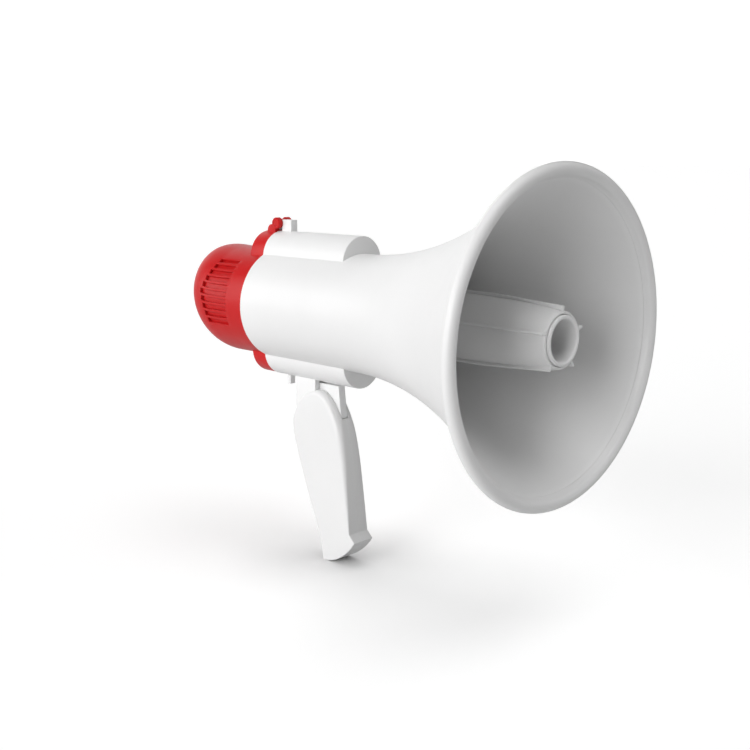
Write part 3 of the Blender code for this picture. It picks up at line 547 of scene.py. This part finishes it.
def throat_and_plate():
    tube = [(-62, 12.5), (-62.4, 12.7), (-110, 10.0), (-171.6, 9.0), (-171.6, 7.0), (-110, 8.0),
            (-62.4, 10.9), (-62, 11.1)]
    place(turned("inner_throat", tube, MEDIUM), "horn", ["throat_tube"], "white_plastic")
    disc = [(-172, 43.0), (-175.9, 43.0), (-175.9, 7.1), (-172, 7.1), (-172, 11.5), (-171.2, 12.2),
            (-171.2, 13.6), (-172, 14.3), (-172, 29.5), (-171.3, 30.2), (-171.3, 31.6), (-172, 32.3)]
    place(turned("driver_wall", disc, FINE), "horn", ["driver_plate"], "white_plastic")


# ---------------------------------------------------------------- rear cap

def dome_place(x, inset):
    """x and radius on the cap's wall: straight to the dome, then closing to its tip."""
    part = (DOME_X - x) / DOME_LENGTH
    if part <= 0:
        return x, CAP_R - inset
    part = min(part, 1.0)
    radius = (CAP_R - inset) * (1 - part ** DOME_CLOSE) ** DOME_BLUNT
    return DOME_X - (DOME_LENGTH - inset) * part, radius


def cap_point(x, inset, degrees):
    """A point on the cap's wall, whose axis rises towards the tip."""
    px, r = dome_place(x, inset)
    lift = DOME_LIFT * max(0.0, (DOME_X - px) / DOME_LENGTH) ** LIFT_POWER
    a = math.radians(degrees)
    return px, r * math.cos(a), r * math.sin(a) + lift


def slot_back(number):
    return SLOT_BACK_X + SLOT_BACK_STEP * abs(number - MIDDLE_SLOT)


def slot_columns():
    """Angles of the cap's columns, each with the back end its row of slots has there.

    The list runs once round from +Y, and says which columns bound a slot's opening.
    """
    edge = (0.42, 0.25, 0.11, 0.03)
    columns = []
    for number in reversed(range(SLOTS)):
        centre = SLOT_TOP - SLOT_STEP * number
        spots = [-SLOT_HALF - e for e in edge] + [-SLOT_HALF, -0.9, 0.9, SLOT_HALF]
        spots += [SLOT_HALF + e for e in reversed(edge)]
        for k, spot in enumerate(spots):
            columns.append((centre + spot, slot_back(number), len(edge) <= k < len(edge) + 3, number))
    top, bottom = columns[-1], columns[0]
    far_top = 180 - top[0]
    count = 26
    over = [(top[0] + (far_top - top[0]) * k / count, top[1], False, -1) for k in range(1, count)]
    mirrored = [(180 - a, back, False, n) for a, back, _, n in reversed(columns)]
    opens = [flag for _, _, flag, _ in columns]
    count_one = len(columns)
    for k in range(count_one):
        a, back, _, n = mirrored[k]
        low = count_one - 2 - k
        mirrored[k] = (a, back, 0 <= low and opens[low], n)
    far_bottom, near_bottom = 180 - bottom[0], 360 + bottom[0]
    count = 40
    under = [(far_bottom + (near_bottom - far_bottom) * k / count, bottom[1], False, -1)
             for k in range(1, count)]
    return columns + over + mirrored + under


def cap_rows(back):
    """x of each row at a column whose slot ends at back, and how many rows bound the slot."""
    edge = (0.32, 0.19, 0.08, 0.02)
    rows = [CAP_FRONT_X, CAP_FRONT_X - 0.25] + [CAP_FRONT_X - 4 * k for k in range(1, 5)]
    rows += [SLOT_FRONT_X + e for e in edge] + [SLOT_FRONT_X]
    first = len(rows) - 1
    count = 12
    rows += [SLOT_FRONT_X + (back - SLOT_FRONT_X) * k / count for k in range(1, count + 1)]
    last = len(rows) - 1
    rows += [back - e for e in reversed(edge)]
    start = (DOME_X - rows[-1]) / DOME_LENGTH
    for k in range(1, 11):
        rows.append(DOME_X - DOME_LENGTH * (start + (NEAR_TIP - start) * k / 10))
    start = (1 - NEAR_TIP ** DOME_CLOSE) ** DOME_BLUNT
    for k in range(1, 16):
        left = (start * (1 - k / 16)) ** (1 / DOME_BLUNT)
        rows.append(DOME_X - DOME_LENGTH * (1 - left) ** (1 / DOME_CLOSE))
    return rows, first, last


def cap_body():
    """The cap's wall as two skins with the slots open between them and their edges rounded."""
    columns = slot_columns()
    verts, skins = [], ([], [])
    for inset, skin in ((0.0, skins[0]), (CAP_WALL, skins[1])):
        for angle, back, _, number in columns:
            rows, _, _ = cap_rows(back)
            line = []
            for k, x in enumerate(rows):
                depth = inset
                if number >= 0 and inset == 0:
                    centre = SLOT_TOP - SLOT_STEP * number
                    turn = angle if angle < 90 or angle > 270 else 180 - angle
                    across = (abs(turn - centre) - SLOT_HALF) * math.radians(1) * CAP_R
                    along = max(x - SLOT_FRONT_X, back - x)
                    gap = math.hypot(max(across, 0), max(along, 0))
                    if gap < SLOT_EDGE:
                        depth = SLOT_EDGE - math.sqrt(SLOT_EDGE ** 2 - (SLOT_EDGE - gap) ** 2)
                if k == 0 and inset == 0:
                    depth = 0.25
                line.append(len(verts))
                verts.append(cap_point(x, depth, angle))
            skin.append(line)
    _, first, last = cap_rows(-330.0)
    faces = []
    count = len(columns)
    height = len(skins[0][0])
    is_open = {(c, r): columns[c][2] and first <= r < last for c in range(count) for r in range(height - 1)}
    for c in range(count):
        d = (c + 1) % count
        for r in range(height - 1):
            if is_open[c, r]:
                continue
            for skin in skins:
                faces.append((skin[c][r], skin[c][r + 1], skin[d][r + 1], skin[d][r]))
            if is_open.get((c, r + 1)):
                faces.append((skins[0][c][r + 1], skins[0][d][r + 1],
                              skins[1][d][r + 1], skins[1][c][r + 1]))
            if is_open.get((c, r - 1)):
                faces.append((skins[0][c][r], skins[0][d][r], skins[1][d][r], skins[1][c][r]))
            if is_open[d, r]:
                faces.append((skins[0][d][r], skins[0][d][r + 1], skins[1][d][r + 1], skins[1][d][r]))
            if is_open[(c - 1) % count, r]:
                faces.append((skins[0][c][r], skins[0][c][r + 1], skins[1][c][r + 1], skins[1][c][r]))
        faces.append((skins[0][c][0], skins[0][d][0], skins[1][d][0], skins[1][c][0]))
    for inset, skin in ((0.0, skins[0]), (CAP_WALL, skins[1])):
        tip = len(verts)
        verts.append((DOME_X - DOME_LENGTH + inset, 0, DOME_LIFT))
        for c in range(count):
            faces.append((skin[c][-1], skin[(c + 1) % count][-1], tip))
    return mesh_object("cap_moulding", verts, faces)


def rear_cap():
    cap = cap_body()
    for word, side in (("top", 1), ("bottom", -1)):
        combine(cap, lobe(f"cap_lobe_{word}", side, LOBE_R, CAP_R, (CAP_FRONT_X, LOBE_X), 0.5,
                          CAP_R - 1.0), "UNION")
        combine(cap, rod("hollow", (-270, 0, side * POD_Z), (LOBE_X + 1.9, 0, side * POD_Z),
                         LOBE_R - POD_WALL, MEDIUM))
    outline = polygon([(-278.5, 56), (-278.5, 64.3), (-284.2, 64.3), (-285.8, 63.8), (-287.1, 62.6),
                       (-288.1, 60.6), (-288.8, 56)])
    base = slab("hinge_base", outline, -7.4, 7.4, 0.6, 0.6, 3)
    combine(cap, base, "UNION")
    for side in (-1, 1):
        ear = [(2.9, 0), (2.9, 4.3), (3.2, 4.6), (6.7, 4.6), (7.5, 3.9), (7.5, 3.2), (7.05, 2.9), (7.05, 0)]
        disc = turned("ear", [(side * y, r) for y, r in ear], 64)
        disc.data.transform(Matrix.Translation(HINGE) @ Matrix.Rotation(math.pi / 2, 4, "Z"))
        combine(cap, disc, "UNION")
    combine(cap, rod("hook_way", HINGE - Vector((0, 2.9, 0)), HINGE + Vector((0, 2.9, 0)), 5.6, 64))
    combine(cap, rod("pin_bore", HINGE - Vector((0, 6.2, 0)), HINGE + Vector((0, 6.2, 0)), 3.6, 64))
    for centre, seat, hole in ((MIC, 12.3, 9.5), (KNOB, 10.8, 3.6)):
        combine(cap, rod("seat", (-375, 0, centre.z), centre, seat, 72))
        combine(cap, rod("hole", (-375, 0, centre.z), (-340, 0, centre.z), hole, 72))
    place(cap, "cap", ["rear_cap"], "red_plastic", 32.0)


def vent_liners():
    """Thin backings close behind the slots, one on each side."""
    for word, mirrored in (("left", False), ("right", True)):
        rows, columns = 14, 30
        verts, skins = [], ([], [])
        for depth, skin in ((CAP_WALL + 0.35, skins[0]), (CAP_WALL + 1.5, skins[1])):
            for k in range(rows + 1):
                x = -296.8 - 39.4 * k / rows
                line = []
                for j in range(columns + 1):
                    angle = -24.5 + 78.5 * j / columns
                    line.append(len(verts))
                    verts.append(cap_point(x, depth, 180 - angle if mirrored else angle))
                skin.append(line)
        faces = []
        for k in range(rows):
            for j in range(columns):
                for skin in skins:
                    faces.append((skin[k][j], skin[k][j + 1], skin[k + 1][j + 1], skin[k + 1][j]))
        for k in range(rows):
            for j in (0, columns):
                faces.append((skins[0][k][j], skins[0][k + 1][j], skins[1][k + 1][j], skins[1][k][j]))
        for j in range(columns):
            for k in (0, rows):
                faces.append((skins[0][k][j], skins[0][k][j + 1], skins[1][k][j + 1], skins[1][k][j]))
        place(mesh_object(f"dust_liner_{word}", verts, faces), "cap", [f"vent_liner_{word}"], "red_plastic")


def mic_grille():
    radius, thick = 11.9, 1.5
    front = MIC.x - 0.5
    profile = [(front - thick, 0), (front - thick, radius)]
    profile += [(front - 0.5, radius), (front - 0.15, radius - 0.25), (front, radius - 0.7), (front, 0)]
    grille = turned("mic_cover", profile, MEDIUM, (0, MIC.z))
    pitch = 2.55
    for row in range(-4, 5):
        for k in range(-5, 6):
            y = pitch * (k + 0.5 * (row % 2))
            z = pitch * row * math.sqrt(3) / 2
            if math.hypot(y, z) < 8.9:
                combine(grille, rod("hole", (-366, y, MIC.z + z), (-350, y, MIC.z + z), 0.8, 14))
    place(grille, "cap", ["mic_grille"], "grey_plastic", 32.0)


def volume_knob():
    """Turned knob with a fluted edge and a raised pointer."""
    profile = [(-358.9, 2.7), (-358.9, 9.3), (-359.4, 9.5), (-364.8, 9.0), (-365.7, 8.7), (-366.1, 8.1),
               (-366.3, 7.2), (-366.0, 6.2), (-365.9, 0), (-364.9, 0), (-364.9, 2.7)]
    steps = 180
    verts, rings = [], []
    for x, radius in profile:
        count = 1 if radius == 0 else steps
        rings.append(list(range(len(verts), len(verts) + count)))
        for k in range(count):
            angle = math.tau * k / steps
            flute = 0.35 * max(0.0, math.cos(angle * 30)) if radius > 8.5 else 0.0
            r = radius - flute
            verts.append((x, r * math.cos(angle), KNOB.z + r * math.sin(angle)))
    knob = mesh_object("volume_dial", verts, stitch(rings, True))
    pointer = box("pointer", (-366.5, -365.3), (-0.45, 0.45), (KNOB.z + 2.2, KNOB.z + 8.0))
    combine(knob, rounded(pointer, 0.18, 2), "UNION")
    place(knob, "knob", ["volume_knob"], "grey_plastic", 32.0)


# ---------------------------------------------------------------- hinge and latch

def hinge_parts():
    lug = rounded(box("hinge_block", (-274.4, -263.2), (-3.45, 3.45), (56.5, 68.2)), 0.45, 3)
    hook = []
    for k in range(17):
        angle = math.radians(8 - 150 * k / 16)
        hook.append((HINGE.x + 5.2 * math.cos(angle), HINGE.z + 5.2 * math.sin(angle)))
    for k in range(17):
        angle = math.radians(8 - 150 * (16 - k) / 16)
        hook.append((HINGE.x + 3.75 * math.cos(angle), HINGE.z + 3.75 * math.sin(angle)))
    for side in (-1, 1):
        way = rod("ear_way", HINGE + Vector((0, side * 2.6, 0)), HINGE + Vector((0, side * 9, 0)), 4.95, 64)
        combine(lug, way)
    combine(lug, slab("hook", polygon(hook), -2.5, 2.5, 0.2, 0.2, 2), "UNION")
    combine(lug, rod("trim", (-300, 0, POD_Z), (-180, 0, POD_Z), POD_R, MEDIUM))
    place(lug, "horn", ["hinge_lug"], "white_plastic", 30.0)
    pin = [(-6.0, 0), (-6.0, 3.1), (-5.7, 3.4), (5.7, 3.4), (6.0, 3.1), (6.0, 0)]
    turned_pin = turned("cap_pin", pin, 64)
    turned_pin.data.transform(Matrix.Translation(HINGE) @ Matrix.Rotation(math.pi / 2, 4, "Z"))
    place(turned_pin, "cap", ["hinge_pin"], "red_plastic")


def latch_peg():
    peg = box("latch_peg", (-270.9, -267.5), (-2.6, 2.6), (-66.8, -56.4))
    place(rounded(peg, 0.6, 4), "latch", ["latch_button"], "white_plastic", 60.0)


# ---------------------------------------------------------------- handle

FRONT_EDGE = [(-231.5, -65.6), (-219.5, -68.0), (-209.1, -78.4), (-201.7, -93.4), (-196.8, -116.8),
              (-193.0, -148.9), (-190.2, -177.6)]
SOLE = [(-184.2, -183.4), (-191.5, -192.0), (-203.0, -200.6), (-213.0, -204.6), (-220.9, -205.3)]
REAR_EDGE = [(-222.9, -194.0), (-230.5, -174.0), (-242.0, -147.0), (-252.5, -117.5), (-257.0, -98.0),
             (-253.9, -84.5), (-245.5, -72.3), (-231.5, -65.6)]
SCREW_PLACES = [(-222.0, -118.0), (-207.5, -176.0)]
TOP_Z = -65.6
FRONT_ROUND, FRONT_ROUND_LOW = 6.6, 1.0     # front edge's rounding, high up and at the lip
TOP_ROUND, REAR_ROUND, SOLE_ROUND = 4.6, 1.9, 0.8


def handle_outline():
    """The grip's side view, with the edge rounding wanted at each of its points."""
    parts = 12
    points, rounds = [], []
    for k, spot in enumerate(smooth_run(REAR_EDGE + FRONT_EDGE[1:], parts)):
        points.append(spot)
        if k < parts * (len(REAR_EDGE) - 1):
            rise = min(1.0, max(0.0, (spot.y + 92) / (TOP_Z + 92)))
            high = REAR_ROUND + (TOP_ROUND - REAR_ROUND) * rise ** 1.5
            rounds.append(min(high, SOLE_ROUND + 0.12 * (spot.y + 196)))
        else:
            fall = min(1.0, max(0.0, (-88 - spot.y) / 88))
            rise = min(1.0, max(0.0, (spot.y + 80) / (TOP_Z + 80)))
            rounds.append(FRONT_ROUND - (FRONT_ROUND - FRONT_ROUND_LOW) * fall ** 0.8
                          - (FRONT_ROUND - TOP_ROUND) * rise)
    for spot in [Vector(FRONT_EDGE[-1])] + smooth_run(SOLE, 8) + [Vector(SOLE[-1])]:
        points.append(spot)
        rounds.append(SOLE_ROUND)
    return points, rounds


def handle_halves():
    points, rounds = handle_outline()
    wall = 2.4
    front = [(x - wall, z) for x, z in FRONT_EDGE[2:-1]]
    rear = [(x + wall, z) for x, z in REAR_EDGE[1:-2]]
    for word, side in (("left", 1), ("right", -1)):
        half = slab(f"grip_{word}", points, side * 0.03, side * HANDLE_HALF, 0.0, rounds, 8)
        hollow = (smooth_run([(-226, -74)] + front + [(-194.5, -182)], 4) + polygon([(-194.5, -182)])
                  + smooth_run([(-218, -186)] + rear + [(-244, -77)], 4) + polygon([(-244, -77)]))
        combine(half, slab("hollow", hollow, -8.4, 8.4), use_self=True)
        combine(half, box("bracket_slot", (-275, -230.2), (-8.9, 8.9), (-107, -50)), use_self=True)
        combine(half, box("blade_slot", (-232, -180), (-3.9, 3.9), (-86.4, -50)), use_self=True)
        for x, z in SCREW_PLACES:
            combine(half, rod("post", (x, side * 0.15, z), (x, side * 9.5, z), 3.4), "UNION")
            combine(half, rod("way", (x, -7.5, z), (x, 7.0, z), 1.6))
            if side > 0:
                combine(half, rod("seat", (x, 6.5, z), (x, 13, z), 2.7))
        place(half, "grip", [f"handle_{word}"], "white_plastic", 26.0)


def handle_bracket():
    foot = 7.4
    rounds = [(FOLD.x + foot * math.cos(math.radians(a)), FOLD.z + foot * math.sin(math.radians(a)))
              for a in range(-12, -136, -9)]
    outline = polygon([(-230.6, -54.0), (-230.6, -82.0)] + rounds + [(-254.0, -84.0), (-254.0, -54.0)])
    bracket = slab("fold_bracket", outline, -BRACKET_HALF, BRACKET_HALF, 0.5, 0.5, 3)
    combine(bracket, rod("trim", (-300, 0, -POD_Z), (-180, 0, -POD_Z), POD_R, MEDIUM))
    combine(bracket, box("blade_slot", (-246.0, -225.0), (-3.9, 3.9), (-80.0, -50)))
    combine(bracket, rod("hole", FOLD - Vector((0, 12, 0)), FOLD + Vector((0, 12, 0)), 2.4))
    place(bracket, "horn", ["handle_bracket"], "white_plastic", 30.0)


def trigger():
    outline = polygon([(-208.7, -60.4), (-205.7, -86.0), (-206.9, -86.6), (-205.2, -98.0), (-206.5, -103.0),
                       (-212.0, -105.0), (-217.5, -102.5), (-219.5, -95.0), (-222.0, -88.0),
                       (-228.5, -76.0), (-233.8, -69.5), (-234.0, -60.4)])
    blade = slab("finger_blade", outline, -BLADE_HALF, BLADE_HALF, 0.45, 0.45, 3)
    combine(blade, rod("hole", SQUEEZE - Vector((0, 8, 0)), SQUEEZE + Vector((0, 8, 0)), 1.55))
    place(blade, "trigger", ["trigger"], "trigger_plastic", 35.0)


# ---------------------------------------------------------------- inside the barrel

def cell(number, side, front):
    """A C cell: jacket, steel ends and the small nub."""
    back = front - 50.0
    nub = back + 1.6
    profile = [(front, 0), (front, 10.6), (front - 0.3, 11.0), (front - 0.1, 12.2), (front - 0.7, 13.1),
               (nub + 0.7, 13.1), (nub + 0.1, 12.2), (nub + 0.35, 11.0), (nub, 10.4), (nub, 3.3),
               (back + 0.3, 3.2), (back, 2.8), (back, 0)]
    made = turned(f"dry_cell_{number}", profile, MEDIUM, (0, side * POD_Z))
    place(made, "horn", [f"battery_cell_{number}"], "cell_jacket", 35.0)
    made.data.materials.append(PAINTS["steel"])
    made.data.materials.append(PAINTS["brass"])
    middle = Vector((0, 0, (side * POD_Z - GRIP.z) * MM))
    for face in made.data.polygons:
        spot = face.center - middle
        radius = math.hypot(spot.y, spot.z) / MM
        x = spot.x / MM + GRIP.x
        if radius < 11.6:
            face.material_index = 1
        elif x < back + 16:
            face.material_index = 2


def battery_parts():
    for side, word, numbers in ((1, "top", (1, 2)), (-1, "bottom", (3, 4))):
        tube = [(-189, 15.1), (-262, 15.1), (-262, 13.5), (-189, 13.5)]
        place(turned(f"cell_tube_{word}", tube, MEDIUM, (0, side * POD_Z)), "horn",
              [f"battery_tube_{word}"], "grey_plastic")
        for k, number in enumerate(numbers):
            cell(number, side, -191.3 - 50.3 * k)


def driver_parts():
    magnet = [(-186.3, 20.6), (-186.7, 21), (-196.6, 21), (-197, 20.6), (-197, 11), (-186.3, 11)]
    place(turned("ring_magnet", magnet, MEDIUM), "horn", ["driver_magnet"], "ferrite")
    yoke = [(-184, 0), (-184, 9.5), (-197.3, 9.5), (-197.3, 21), (-200.6, 21), (-201.3, 20.2), (-201.3, 3),
            (-200.3, 2.4), (-200.3, 0)]
    place(turned("steel_yoke", yoke, MEDIUM), "horn", ["driver_yoke"], "steel")


def mic_and_pot():
    boot = [(-347, 9), (-357.6, 9), (-358, 8.6), (-358, 5.1), (-347, 5.1)]
    place(turned("capsule_boot", boot, MEDIUM, (0, MIC.z)), "cap", ["mic_boot"], "black_rubber")
    pot = [(-343.5, 0), (-343.5, 7.4), (-344.1, 8), (-351.7, 8), (-352, 7.6), (-352, 3.3), (-358.5, 3.3),
           (-358.5, 2.4), (-364.5, 2.4), (-364.5, 0)]
    place(turned("level_pot", pot, SMALL, (0, KNOB.z)), "cap", ["volume_pot"], "steel")


# ---------------------------------------------------------------- assembly

slot_of = {part["node"]: part["material_slot"] for part in frame["record"]["subparts"]}
for node, carried in frame["nodes"].items():
    carried.data.materials.clear()
    carried.data.materials.append(PAINTS[slot_of[node]])

horn_shell()
rim_ring()
reflector_sleeve()
reflector_cup()
throat_and_plate()
rear_cap()
vent_liners()
mic_grille()
volume_knob()
hinge_parts()
latch_peg()
handle_halves()
handle_bracket()
trigger()
battery_parts()
driver_parts()
mic_and_pot()


# ---------------------------------------------------------------- floor, light and camera

FLOOR_COLOUR = (0.70, 0.70, 0.70)
FLOOR_GLOW = 0.43                   # lifts the paper to white where nothing shades it
FLOOR_SHADE_REACH = 0.09            # how near a piece must be to take some of that lift away, as painted shadow
FLOOR_SHADE_POWER = 2.0
SKY_SEEN, SKY_GLOW = 1.1, 0.02      # brightness to look at, and as a light
LIGHTS = (                          # name, height and bearing in degrees, spread, strength
    ("side_key", 12.0, 270.0, 45.0, 0.88),
    ("side_fill", 12.0, 225.0, 45.0, 0.34),
    ("rear_fill", 12.0, 157.0, 60.0, 0.25),
    ("front_fill", 42.0, 45.0, 80.0, 0.27),
    ("overhead", 80.0, 0.0, 45.0, 0.31),
)
CAMERA_AT = (0.63327, -0.58617, 0.24710)
CAMERA_DOWN, CAMERA_TURN = 11.050, 44.876   # degrees
CAMERA_LENS = 52.70


def floor_finish():
    """White paper that glows a little to the eye, less so under and close beside the piece, where the
    dimmed glow is a painted shadow.
    """
    recipe = Recipe("floor_paper")
    paper = recipe.between(recipe.noise(3.0), 0.3, 0.7, scaled(FLOOR_COLOUR, 0.99), FLOOR_COLOUR)
    recipe.drive("Base Color", paper)
    recipe.constant(Roughness=0.9, Emission_Color=(1, 1, 1, 1))
    rays = recipe.tree.nodes.new("ShaderNodeLightPath")
    glow = recipe.tree.nodes.new("ShaderNodeMath")
    glow.operation = "MULTIPLY"
    glow.inputs[1].default_value = FLOOR_GLOW
    recipe.tree.links.new(rays.outputs["Is Camera Ray"], glow.inputs[0])
    # Painted shadow: ambient occlusion dims the glow close to the piece.
    shade = recipe.tree.nodes.new("ShaderNodeAmbientOcclusion")
    shade.samples = 8
    shade.inputs["Distance"].default_value = FLOOR_SHADE_REACH
    shaded = recipe.tree.nodes.new("ShaderNodeMath")
    shaded.operation = "MULTIPLY"
    recipe.tree.links.new(glow.outputs["Value"], shaded.inputs[0])
    deeper = recipe.tree.nodes.new("ShaderNodeMath")
    deeper.operation = "POWER"
    deeper.inputs[1].default_value = FLOOR_SHADE_POWER
    recipe.tree.links.new(shade.outputs["AO"], deeper.inputs[0])
    recipe.tree.links.new(deeper.outputs["Value"], shaded.inputs[1])
    recipe.drive("Emission Strength", shaded.outputs["Value"])
    recipe.shader.inputs["Specular IOR Level"].default_value = 0.05
    return recipe.material


def add_floor():
    half = 60.0
    height = CAD_BOX[0][2]
    mesh = bpy.data.meshes.new("floor")
    corners = [(-half, -half, height), (half, -half, height), (half, half, height), (-half, half, height)]
    mesh.from_pydata(corners, [], [(0, 1, 2, 3)])
    floor = bpy.data.objects.new("floor", mesh)
    floor.data.materials.append(floor_finish())
    bpy.context.scene.collection.objects.link(floor)


def add_sun(name, height, bearing, spread, strength):
    """A broad distant light; height, bearing and spread, its apparent width, are in degrees."""
    up, round_z = math.radians(height), math.radians(bearing)
    source = (math.cos(up) * math.cos(round_z), math.cos(up) * math.sin(round_z), math.sin(up))
    light = bpy.data.lights.new(name, "SUN")
    light.angle = math.radians(spread)
    light.energy = strength * math.pi
    obj = bpy.data.objects.new(name, light)
    obj.rotation_mode = "QUATERNION"
    obj.rotation_quaternion = Vector(source).to_track_quat("Z", "Y")
    bpy.context.scene.collection.objects.link(obj)


def add_world():
    """White surroundings to look at, which give only a little light themselves."""
    world = bpy.data.worlds.new("studio")
    bpy.context.scene.world = world
    world.use_nodes = True
    tree = world.node_tree
    tree.nodes.clear()
    out = tree.nodes.new("ShaderNodeOutputWorld")
    seen = tree.nodes.new("ShaderNodeBackground")
    seen.inputs["Strength"].default_value = SKY_SEEN
    seen.inputs["Color"].default_value = (1, 1, 1, 1)
    glow = tree.nodes.new("ShaderNodeBackground")
    glow.inputs["Strength"].default_value = SKY_GLOW
    rays = tree.nodes.new("ShaderNodeLightPath")
    mix = tree.nodes.new("ShaderNodeMixShader")
    tree.links.new(rays.outputs["Is Camera Ray"], mix.inputs["Fac"])
    tree.links.new(glow.outputs["Background"], mix.inputs[1])
    tree.links.new(seen.outputs["Background"], mix.inputs[2])
    tree.links.new(mix.outputs["Shader"], out.inputs["Surface"])


def add_camera():
    camera = bpy.data.cameras.new("camera")
    camera.sensor_width = 36.0
    camera.lens = CAMERA_LENS
    camera.clip_start = 0.01
    obj = bpy.data.objects.new("camera", camera)
    obj.location = CAMERA_AT
    obj.rotation_euler = (math.radians(90 - CAMERA_DOWN), 0, math.radians(CAMERA_TURN))
    bpy.context.scene.collection.objects.link(obj)
    bpy.context.scene.camera = obj


bpy.context.scene.view_settings.view_transform = "Standard"
bpy.context.scene.view_settings.look = "None"
add_floor()
add_world()
for name, height, bearing, spread, strength in LIGHTS:
    add_sun(name, height, bearing, spread, strength)
add_camera()
